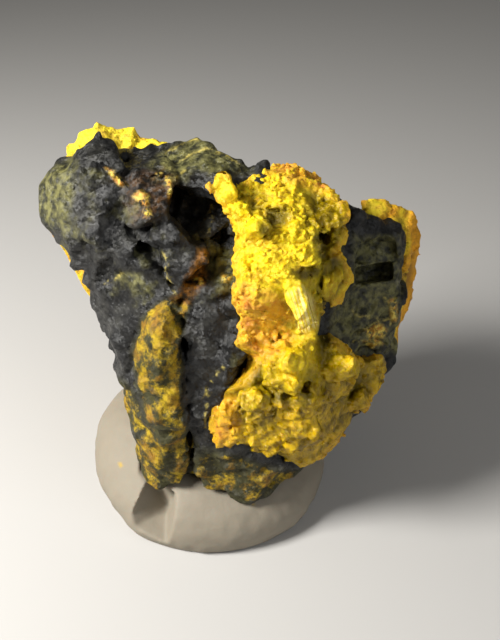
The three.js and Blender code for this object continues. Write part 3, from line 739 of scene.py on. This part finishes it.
def crystal(root, tip, width, thickness, roll=0.0, taper=0.7):
    """A flat-sided prism from its root to its blunt tip: its form, its middle and its reach."""
    root, tip = np.array(root, float), np.array(tip, float)
    length = np.linalg.norm(tip - root)
    along = (tip - root) / length
    spare = np.array([0, 0, 1.0]) if abs(along[2]) < 0.9 else np.array([1.0, 0, 0])
    side = np.cross(along, spare)
    side /= np.linalg.norm(side)
    back = np.cross(along, side)
    lean = (1 - taper) * width / 2 / length
    outs, reaches = [along, -along], [along @ tip, -along @ root]
    for turn in range(6):
        angle = roll + turn * math.pi / 3
        radius = math.hypot(width / 2 * math.cos(angle - roll), thickness / 2 * math.sin(angle - roll))
        out = math.cos(angle) * side + math.sin(angle) * back + lean * along
        size = np.linalg.norm(out)
        outs.append(out / size)
        reaches.append((out @ root + SIDE_DRAW * radius) / size)
    for sign in (-1, 1):
        out = along + sign * TIP_SLANT * side
        size = np.linalg.norm(out)
        outs.append(out / size)
        reaches.append((out @ tip + TIP_CUT * width) / size)
    outs, reaches = np.array(outs), np.array(reaches)
    return (
        lambda points: (points @ outs.T - reaches).max(axis=1),
        (root + tip) / 2,
        length / 2 + max(width, thickness),
    )


def small_crystals(count):
    """Crystals at random on the mass, leaning out of it, larger towards the foot."""
    seeds, _ = Grid(mass_in_edge, crystal_relief, "soddyite_crystals", SEED_PITCH).skin()
    seeds = seeds[plain_rock(seeds) > -BURIED]
    seeds = seeds[random.random(len(seeds)) < 0.25 + 0.75 * sugary(seeds)]
    bare = (*SHADED_HOLLOWS, *AMBER_CRYSTALS, PALE_BLADE)
    seeds = seeds[outlined(picture(seeds), bare, 6) < 0.5]
    seeds = seeds[random.permutation(len(seeds))[:count]]
    step = 0.05 * np.eye(3)
    slopes = np.stack([plain_mass(seeds + way) - plain_mass(seeds - way) for way in step], axis=1)
    slopes /= np.linalg.norm(slopes, axis=1)[:, None]
    inside = outline_depth(picture(seeds), CRYSTAL_EDGE) * PIXEL - 0.3
    for seed, slope, inner in zip(seeds, slopes, inside):
        low = np.clip((LOW_START - seed[2]) / 6, 0, 1) * np.clip(inner, 0, 1)
        width = random.uniform(0.16, 0.36) + 1.1 * low * random.random() ** 2
        length = width * random.uniform(1.1, 1.6)
        way = slope + (0.75 - 0.35 * low) * random.normal(size=3)
        way /= np.linalg.norm(way)
        thickness = width * random.uniform(0.5, 0.9)
        rise = 0.3 - 0.15 * low
        root = seed - (1 - rise) * length * way
        yield crystal(root, seed + rise * length * way, width, thickness, random.random() * 6)


def crystal_block(*corners):
    """A stout crystal of the corners' hull: its form, its middle and its reach."""
    middle = np.mean(corners, axis=0)
    reach = np.linalg.norm(np.array(corners) - middle, axis=1).max()
    return block(*corners, rounding=0.05, swell=0.03), middle, reach


def chipped(form, middle, reach):
    """A crystal with small flat chips all over."""
    return lambda points: form(points) - relief(points, CHIPS), middle, reach + 0.2


large_crystals = [
    crystal_block(  # amber block at the top right
        (3.4, -0.6, 17.4), (3.8, -0.4, 17.6), (4.9, -0.4, 17.7), (5.2, -0.6, 17.6), (5.2, -1.1, 17),
        (4.6, -1.7, 16.9), (3.6, -1.9, 17), (3.3, -1.6, 17.3), (3.4, 0.2, 16.4), (4.8, 0, 16.4),
    ),
    crystal_block(  # plate below it
        (2.4, -3.2, 16.2), (3, -2.8, 16.3), (3.7, -2.9, 16.2), (3.7, -3.4, 16.1), (3, -3.9, 16),
        (2.4, -3.7, 16.1), (2.6, -2.4, 15.6), (3.6, -2.4, 15.6),
    ),
    crystal_block(  # long pale blade in the middle
        (1.9, -3.8, 15.6), (2.7, -3.7, 15.7), (3.5, -4.7, 13.7), (2.6, -4.9, 13.4), (2.9, -4.6, 14.7),
        (2.1, -3, 14.9), (3.2, -3.6, 13.1),
    ),
    crystal_block(  # thin flap at the top left, over the hollow
        (-1.4, -1.1, 18.8), (-0.8, -0.5, 19.4), (-0.3, -0.9, 19), (0, -1.3, 18.3), (-0.6, -1.2, 17.6),
        (-1.1, -1.2, 18), (-1.2, -0.6, 18.4), (-0.3, -0.2, 18.3), (-0.5, -0.6, 17.6),
    ),
    crystal_block(  # granular swelling at its right
        (3.8, -2.2, 15.4), (4.6, -1.6, 15.4), (5.2, -1.4, 15), (5.4, -1.6, 14.2), (5.1, -2, 13.5),
        (4.5, -2.6, 13.2), (3.8, -3.2, 14), (4, -3, 14.9), (4.9, -2.2, 14.8), (4, -0.6, 14),
    ),
    crystal((-0.8, -4.4, 6.9), (-0.6, -5.1, 9.2), 1.4, 1.2),  # orange one at the lower left
    crystal((0.4, -1.8, 16.6), (1.0, -3.0, 17.8), 1.3, 1.1),
    crystal((2.0, -4.4, 11.6), (2.6, -5.7, 12.3), 1.9, 1.6),
    crystal((3.6, -3.6, 10.4), (5.5, -4.2, 10.9), 1.8, 1.4),
    crystal((0.9, -4.6, 9.4), (0.5, -5.9, 10.3), 1.7, 1.4),
    crystal((2.4, -4.4, 7.6), (3.3, -5.8, 8.6), 1.9, 1.6),
    crystal((5.0, -2.0, 7.0), (6.4, -2.6, 7.8), 1.6, 1.4),
]

# Soddyite crust

back_slab = block(
    (-9.7, 1.7, 15.6), (-9.1, 1.6, 15.1), (-8.4, 1.6, 14.4), (-7.1, 1.9, 12.9), (-9.4, 2.6, 17.3),
    (-8.9, 3.2, 18.1), (-8.5, 3.3, 18.5), (-7.8, 3.4, 18.8), (-6.3, 2.6, 10), (-5.6, 1.8, 5.2),
    (-4.4, 4.6, 4.2), (2.6, 4.4, 3.4), (6.4, 4.4, 6), (8.4, 4.9, 10.2), (8.4, 5, 13.6),
    (6.2, 4.8, 14.6), (0.6, 5.2, 16.2), (-4, 5.4, 17.3), (-7, 5, 17.6), (-6.4, 5.4, 12),
    (1, 5.7, 11),
)
crest = block(
    (-7.5, 3.4, 19.1), (-7, 3.7, 19.3), (-6.8, 3.8, 19.7), (-6.1, 3.8, 19.6), (-5.4, 3.8, 19.4),
    (-4.8, 3.7, 19.1), (-3.7, 3.4, 18.7), (-6.7, 2.4, 18.9), (-4.2, 2.8, 18.4), (-6.8, 5, 16),
    (-3.8, 5.2, 15.6), (-8, 3.6, 17.6), (-6.4, 4.8, 18.2), (-4.2, 4.8, 17.8),
)
rind = block(
    (6.3, 3.2, 15.8), (7.4, 3.8, 15.7), (8.4, 3.8, 15.2), (9.1, 3.8, 14.5), (9.4, 3.6, 13.9),
    (9.5, 3.4, 12.3), (9.3, 3.1, 11.1), (9.1, 2.9, 9.8), (8.8, 2.5, 8.1), (8.6, 2.2, 7.2),
    (8.1, 1.6, 6.2), (7.7, 1.3, 5.6), (8.4, 2.6, 14.6), (8.7, 2.4, 13.4), (8.8, 2.3, 10.5),
    (8.9, 4.8, 13.4), (8.9, 4.6, 10.4), (7.6, 4.4, 7.4), (6.4, 4.8, 14.6),
)
plain_crust = joined([back_slab, crest, rind], BLOCK_BLEND)


def crust_relief(points):
    """Lumps and grains, low where the crust is thin, with broad swells over the back."""
    x, y, z = points.T
    full = np.maximum(softly(x - THIN_LEFT, 4), softly(z - CREST_FOOT, 1))
    full *= softly(z - RIND_FOOT, 4)
    full = np.maximum(full, 0.6 * softly(y - SIDE_START, 1))
    back = softly(y - BACK_START, 1)
    grained = relief(points, CRUST_LUMPS) + relief(points, CRUST_GRAINS, grains)
    return (0.2 + 0.8 * full) * grained + back * (relief(points, BACK_SWELLS) - 0.25)


# Putty

putty_x, putty_y = PUTTY_CENTRE
putty_mound = ellipsoid(
    (putty_x, putty_y, PUTTY_WIDEST),
    (PUTTY_WIDTH / 2, PUTTY_DEPTH / 2, PUTTY_HEIGHT - PUTTY_WIDEST),
)
putty_shoulder = ellipsoid((putty_x - 2.9, putty_y + 1.3, 2.2), (3.5, 4.2, 2.6))
putty_rim = ellipsoid((putty_x + 0.1, putty_y - 3.5, 1.2), (3.9, 2.4, 2.0))
putty_fold = block(
    (-6.2, -5.8, 0.9), (-5, -4.8, 3.4), (-3.1, -5.4, 3.4), (-3.9, -6.2, 0.5), (-4.8, -3.1, 2.8),
    (-4, -3.6, 1.2), (-3.5, -4.2, 2.8),
)
plain_putty = carved(
    joined([putty_mound, putty_shoulder, putty_rim], PUTTY_BLEND), [putty_fold], CUT_BLEND
)


def putty_relief(points):
    """The unevenness that a hand leaves, none of it on the flat underside."""
    pressed = 0.07 * noise(points, 1.7, 3) + 0.025 * noise(points, 0.5, 4)
    return pressed * np.clip(points[:, 2] / 0.3, 0, 1)


# Pieces

rock_grid = Grid(plain_rock, rock_relief, "matrix", ROCK_PITCH)
matrix = piece("matrix_rock", rock_grid, ROCK_SHARP)

crystal_grid = Grid(mass_in_edge, crystal_relief, "soddyite_crystals", CRYSTAL_PITCH)
for made in large_crystals:
    crystal_grid.add(*chipped(*made))
for made in small_crystals(SMALL_CRYSTALS):
    crystal_grid.add(*made)
crystal_grid.keep(lambda points: -plain_rock(points) - SUNK)
crystals = piece("soddyite_growth", crystal_grid, CRYSTAL_SHARP)

crust_grid = Grid(plain_crust, crust_relief, "soddyite_crust", CRUST_PITCH)
crust_grid.keep(lambda points: -plain_rock(points) - SUNK)
crust = piece("crust_skin", crust_grid, CRUST_SHARP)

putty_grid = Grid(plain_putty, putty_relief, "putty_base", PUTTY_PITCH)
putty_grid.keep(lambda points: np.maximum(-points[:, 2], MATRIX_GAP - plain_rock(points)))
putty = piece("putty_lump", putty_grid, PUTTY_SHARP)

for made, node, slot in (
    (matrix, "matrix", "ore"),
    (crystals, "soddyite_crystals", "soddyite"),
    (crust, "soddyite_crust", "crust"),
    (putty, "putty_base", "putty"),
):
    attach(made, "root")
    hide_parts(node)

# Markings

FEET_TOP = 5.2  # height up to which the hidden sides of the feet are stained
AMBER_TOP = 11.5  # height below which the crystals turn amber and darker, partly as painted shade
CREST_YELLOW = 18.4  # height above which the crust is yellow at the left
RIND_ORANGE = 8.9  # x right of which it is orange


def wander(points, size, reach, salt):
    """Shifts in the picture, in pixels, that make drawn outlines ragged."""
    return reach * np.stack([noise(points, size, salt + side) for side in range(2)], axis=1)


def mark_matrix():
    points = places(matrix)
    shifts = wander(points, 0.55, 3.5, 20)
    spots = picture(points) + shifts
    fine_spots = picture(points) + 0.5 * shifts
    front = softly(shown(matrix), 0.3)
    hidden = softly(-front + 0.5, 1)
    feet = 0.7 * softly(FEET_TOP + noise(points, 1.5, 22) - points[:, 2], 1.5) * hidden
    foot = outlined(spots, (FOOT_STAIN, EDGE_STRIPE), 6) * front
    right_foot = 0.85 * outlined(spots, (LOBE_STAIN,), 8) * front
    mark(matrix, "stain", np.max([foot, right_foot, feet], axis=0))
    browned = 0.22 * outlined(spots, (BROWN_PATCH,), 14)
    mark(matrix, "rust", np.maximum(outlined(spots, (RUST_STREAK,), 6), browned) * front)
    mark(matrix, "fleck", outlined(fine_spots, FLECKS, 3) * front)
    mark(matrix, "vein", lined(fine_spots, VEINS, 0.9) * front)
    mark(matrix, "olive", outlined(spots, OLIVE_FACES, 10) * front)


def mark_crystals():
    points = places(crystals)
    spots = picture(points) + wander(points, 0.5, 3, 23)
    fringe = 0.6 * softly(5 - outline_depth(spots, CRYSTAL_EDGE), 7)
    mark(crystals, "orange", np.maximum(outlined(spots, ORANGE_PATCHES, 9), fringe))
    # Where painted shade darkens the crystals' hollows
    mark(crystals, "hollow", outlined(spots, SHADED_HOLLOWS, 8))
    mark(crystals, "pale", outlined(spots, (PALE_BLADE,), 5))
    # Amber towards the bottom: partly the crystals' own colour, partly painted shade
    low = softly(AMBER_TOP + 0.8 * noise(points, 1.3, 25) - points[:, 2], 4)
    mark(crystals, "low", np.maximum(low, 0.8 * outlined(spots, AMBER_CRYSTALS, 4)))
    # How far each point stands out of the plain mass; the material reads it to paint shade in the pits
    mark(crystals, "raised", mass_in_edge(points))


def mark_crust():
    points = places(crust)
    crest_share = softly(points[:, 2] - CREST_YELLOW, 1) * softly(-points[:, 0] - 2, 1)
    rind_share = softly(points[:, 0] - RIND_ORANGE, 0.5)
    mark(crust, "orange", np.clip(0.35 - 0.6 * crest_share + 0.6 * rind_share, -0.3, 1))
    # How far each point stands out of the plain crust; the material reads it to paint shade in the
    # pits
    mark(crust, "raised", plain_crust(points))


def mark_putty():
    mark(putty, "speck", outlined(picture(places(putty)), PUTTY_SPECKS, 2))


mark_matrix()
mark_crystals()
mark_crust()
mark_putty()

# Materials


class Paint:
    """A material and the nodes that feed its shader."""

    def __init__(self, name):
        self.material = bpy.data.materials.new(name)
        self.material.use_nodes = True
        self.tree = self.material.node_tree
        self.shader = self.tree.nodes["Principled BSDF"]
        place = self.tree.nodes.new("ShaderNodeTexCoord").outputs["Object"]
        self.place = self.vector("SCALE", {0: place, 3: 1 / MM})  # in millimetres

    def node(self, kind, inputs, output=0, **settings):
        """One of a new node's outputs; its inputs are picked by name or by place in the list."""
        made = self.tree.nodes.new(kind)
        for name, value in settings.items():
            setattr(made, name, value)
        for name, value in inputs.items():
            self.feed(made.inputs[name], value)
        return made.outputs[output]

    def feed(self, socket, value):
        """Links a socket to another node's output, or sets it to a plain value."""
        if isinstance(value, bpy.types.NodeSocket):
            self.tree.links.new(value, socket)
        else:
            socket.default_value = value

    def noise(self, size, detail=4, roughness=0.55):
        inputs = {"Vector": self.place, "Scale": 1 / size, "Detail": detail, "Roughness": roughness}
        return self.node("ShaderNodeTexNoise", inputs)

    def cells(self, size):
        """A colour picked at random for each grain."""
        inputs = {"Vector": self.place, "Scale": 1 / size}
        return self.node("ShaderNodeTexVoronoi", inputs, output=1)

    def stripes(self, across, size):
        """Lines of about that width, side by side in the direction across."""
        way = self.vector("DOT_PRODUCT", {0: self.place, 1: across}, output=1)
        inputs = {"W": way, "Scale": 1 / size, "Detail": 3}
        return self.node("ShaderNodeTexNoise", inputs, noise_dimensions="1D")

    def level(self, value, low, high, least=0, most=1):
        """From least to most, as the value goes from low to high."""
        inputs = {"Value": value, "From Min": low, "From Max": high, "To Min": least, "To Max": most}
        return self.node("ShaderNodeMapRange", inputs)

    def maths(self, operation, a, b):
        return self.node("ShaderNodeMath", {0: a, 1: b}, operation=operation)

    def product(self, a, b):
        return self.maths("MULTIPLY", a, b)

    def vector(self, operation, inputs, output=0):
        return self.node("ShaderNodeVectorMath", inputs, output, operation=operation)

    def mix(self, share, first, second):
        inputs = {0: share, 6: first, 7: second}
        return self.node("ShaderNodeMix", inputs, output=2, data_type="RGBA")

    def coat(self, share, colour):
        """Covers what is painted so far with a colour, by its share."""
        self.colour = self.mix(share, self.colour, colour)

    def mark(self, name):
        return self.node("ShaderNodeAttribute", {}, output=2, attribute_name=name)

    def glints(self, *grains):
        """The surface's direction, tilted at random in each grain of a size, for each size."""
        total = self.node("ShaderNodeNewGeometry", {}, output=1)
        for size, tilt in grains:
            around = self.vector("SUBTRACT", {0: self.cells(size), 1: (0.5, 0.5, 0.5)})
            tilted = self.vector("SCALE", {0: around, 3: 2 * tilt})
            total = self.vector("ADD", {0: total, 1: tilted})
        return self.vector("NORMALIZE", {0: total})

    def bump(self, height, distance, below=None):
        inputs = {"Height": height, "Distance": distance * MM, "Strength": 1.0}
        if below is not None:
            inputs["Normal"] = below
        return self.node("ShaderNodeBump", inputs)

    def set(self, **inputs):
        for name, value in inputs.items():
            self.feed(self.shader.inputs[name.replace("_", " ")], value)


# Colours are linear shares of red, green and blue, and full cover

# Black ore: dusty, with olive faces, stained feet, a rusty streak, thin veins and flecks

ore = Paint("ore")
dusty = ore.level(ore.noise(0.9, 8, 0.65), 0.46, 0.68)
ore.colour = ore.mix(dusty, (0.006, 0.006, 0.006, 1), (0.039, 0.038, 0.033, 1))
olive = ore.maths("ADD", ore.level(ore.noise(2.6, 5), 0.55, 0.7), ore.mark("olive"))
tinged = ore.mix(
    ore.level(ore.noise(0.4, 7), 0.4, 0.62), (0.022, 0.022, 0.01, 1), (0.16, 0.15, 0.05, 1)
)
ore.coat(ore.level(olive, 0, 1), tinged)
stain = ore.mark("stain")
dark_olive = ore.mix(ore.noise(0.5, 5), (0.008, 0.008, 0.004, 1), (0.055, 0.05, 0.006, 1))
ore.coat(stain, dark_olive)
ochre = ore.mix(
    ore.level(ore.noise(0.8, 6), 0.4, 0.62), (0.4, 0.27, 0.002, 1), (0.24, 0.12, 0.003, 1)
)
mottled = ore.maths("ADD", ore.noise(1.1, 8, 0.7), ore.product(stain, 0.3))
crackled = ore.level(ore.noise(0.22, 6, 0.7), 0.36, 0.5, 0.3, 1)
stained = ore.product(ore.level(mottled, 0.75, 0.86), crackled)
ore.coat(stained, ochre)
streaky = ore.level(ore.noise(0.35, 7, 0.65), 0.42, 0.62)
rusty = ore.mix(streaky, (0.02, 0.011, 0.004, 1), (0.3, 0.12, 0.008, 1))
ore.coat(ore.mark("rust"), rusty)
broken = ore.product(ore.mark("vein"), ore.level(ore.noise(0.3, 4), 0.42, 0.6))
ore.coat(broken, (0.42, 0.34, 0.08, 1))
fleck = ore.mix(
    ore.level(ore.noise(0.3, 6), 0.4, 0.6), (0.75, 0.58, 0.1, 1), (0.45, 0.2, 0.015, 1)
)
flecked = ore.product(ore.mark("fleck"), ore.level(ore.noise(0.35, 7, 0.7), 0.42, 0.52))
ore.coat(flecked, fleck)
dull = ore.level(ore.noise(0.5, 7), 0.35, 0.65, 0.28, 0.6)
ore.set(
    Base_Color=ore.colour,
    Roughness=ore.maths("ADD", dull, ore.product(stain, 0.25)),
    Specular_IOR_Level=0.4,
    Normal=ore.bump(ore.noise(0.2, 8, 0.7), 0.06, ore.glints((0.5, 0.28), (0.13, 0.3))),
)
matrix.data.materials.append(ore.material)

# Crystals: lemon to amber, with painted shade in the pits and hollows, orange patches, cream patches
# with painted highlights and a pale striped blade

lemon = Paint("soddyite")
patchy = lemon.level(lemon.noise(1.1, 6), 0.35, 0.65)
grainy = lemon.level(lemon.cells(0.2), 0.25, 0.75)
lemon.colour = lemon.mix(patchy, (0.8, 0.58, 0, 1), (0.62, 0.38, 0, 1))
lemon.coat(lemon.level(grainy, 0, 1, 0, 0.5), (0.9, 0.72, 0.01, 1))
# Lower down the crystals are amber; the darkest amber stands partly for painted shade towards the
# bottom
browned = lemon.level(lemon.noise(0.9, 7, 0.65), 0.42, 0.6)
amber_and_shade = lemon.mix(browned, (0.58, 0.36, 0, 1), (0.16, 0.095, 0, 1))
amber_and_shade = lemon.mix(lemon.level(grainy, 0, 1, 0, 0.25), amber_and_shade, (0.75, 0.54, 0.01, 1))
lemon.coat(lemon.mark("low"), amber_and_shade)
# Painted shade: dark olive where the skin lies below the plain mass
pit_shade = lemon.level(lemon.mark("raised"), 0.12, -0.35)
# The hollows get the same painted shade
pit_shade = lemon.maths("MAXIMUM", pit_shade, lemon.product(lemon.mark("hollow"), 0.92))
lemon.coat(pit_shade, (0.105, 0.075, 0, 1))
reddish = lemon.level(lemon.noise(0.7, 5), 0.45, 0.75)
warm = lemon.mix(reddish, (0.72, 0.4, 0.02, 1), (0.5, 0.17, 0.02, 1))
warmed = lemon.product(lemon.mark("orange"), lemon.level(lemon.noise(0.5, 5), 0.3, 0.48))
lemon.coat(warmed, warm)
# Cream patches: partly pale crystals, partly painted highlights; the pale blade is striped with them
cream_and_highlight = lemon.level(lemon.noise(0.6, 7, 0.7), 0.64, 0.74, 0, 0.7)
stripes = lemon.level(lemon.stripes((0.95, 0.19, 0.25), 0.13), 0.38, 0.6)
cream_and_highlight = lemon.maths("MAXIMUM", cream_and_highlight, lemon.product(lemon.mark("pale"), stripes))
lemon.coat(cream_and_highlight, (0.92, 0.76, 0.25, 1))
dull = lemon.maths("SUBTRACT", lemon.noise(0.4, 5), lemon.mark("low"))
lemon.set(
    Base_Color=lemon.colour,
    Roughness=lemon.level(dull, -0.6, 0.6, 0.12, 0.55),
    Specular_IOR_Level=0.4,
    Subsurface_Weight=0.35,
    Subsurface_Radius=(1.0, 0.7, 0.05),
    Subsurface_Scale=0.3 * MM,
    Normal=lemon.bump(lemon.noise(0.12, 5, 0.7), 0.05, lemon.glints((0.3, 0.25), (0.12, 0.3))),
)
crystals.data.materials.append(lemon.material)

# Crust: dull yellow to orange, with painted shade in its pits

rust = Paint("crust")
orange = rust.maths("ADD", rust.mark("orange"), rust.level(rust.noise(1.0, 7), 0.3, 0.7))
orange = rust.level(orange, 0.5, 1.1)
rust.colour = rust.mix(orange, (0.95, 0.72, 0.02, 1), (0.9, 0.42, 0.01, 1))
deep = rust.level(rust.noise(0.5, 7, 0.7), 0.5, 0.66, 0, 0.7)
rust.coat(deep, (0.36, 0.16, 0.01, 1))
# Painted shade: dark brown where the skin lies below the plain crust
pit_shade = rust.level(rust.mark("raised"), 0.0, -0.3)
rust.coat(pit_shade, (0.12, 0.06, 0.01, 1))
rust.set(
    Base_Color=rust.colour,
    Roughness=0.6,
    Normal=rust.bump(rust.noise(0.16, 6, 0.7), 0.1, rust.glints((0.35, 0.3), (0.14, 0.3))),
)
crust.data.materials.append(rust.material)

# Putty: matt grey-beige with a few yellow specks

clay = Paint("putty")
clay.colour = clay.mix(clay.noise(2.5, 5), (0.205, 0.178, 0.133, 1), (0.285, 0.248, 0.189, 1))
clay.coat(clay.mark("speck"), (0.4, 0.28, 0.06, 1))
clay.set(
    Base_Color=clay.colour,
    Roughness=0.72,
    Subsurface_Weight=0.1,
    Subsurface_Scale=0.6 * MM,
    Normal=clay.bump(clay.noise(0.3, 5), 0.02),
)
putty.data.materials.append(clay.material)

# Floor, lights and camera

FLOOR_HALF = 400
MIDDLE = (0, 0, 10)  # where the lights point
STUDIO_GLOW = 0.13
SENSOR = 36  # the camera's, in true millimetres


def area_light(name, place, size, power, tint):
    """A square soft light that faces the specimen's middle."""
    data = bpy.data.lights.new(name, "AREA")
    data.size = size * MM
    data.energy = power
    data.color = tint
    light = placed(name, data)
    light.location = Vector(place) * MM
    facing = Vector(MIDDLE) * MM - light.location
    light.rotation_euler = facing.to_track_quat("-Z", "Y").to_euler()


half = FLOOR_HALF * MM
floor_mesh = bpy.data.meshes.new("floor")
floor_mesh.from_pydata(
    [(-half, -half, 0), (half, -half, 0), (half, half, 0), (-half, half, 0)], [], [(0, 1, 2, 3)]
)
floor = placed("floor", floor_mesh)
pale = Paint("pale_floor")
pale.set(Base_Color=(0.5, 0.49, 0.475, 1), Roughness=0.9)
floor_mesh.materials.append(pale.material)

area_light("key", (-60, -26, 62), size=26, power=0.15, tint=(1, 0.98, 0.94))
area_light("fill", (60, -50, 50), size=60, power=0.019, tint=(0.95, 0.97, 1))

bpy.context.scene.view_settings.view_transform = "Standard"
world = bpy.data.worlds.new("studio")
world.use_nodes = True
glow = world.node_tree.nodes["Background"].inputs
glow["Color"].default_value = (1, 0.98, 0.93, 1)
glow["Strength"].default_value = STUDIO_GLOW
bpy.context.scene.world = world

camera_data = bpy.data.cameras.new("camera")
camera_data.sensor_width = SENSOR
camera_data.lens = SENSOR * FOCAL / FRAME_TALL
camera_data.clip_start = 1 * MM
camera = placed("camera", camera_data)
camera.location = Vector(CAMERA) * MM
camera.rotation_euler = (math.pi / 2 - PITCH, 0, 0)
bpy.context.scene.camera = camera
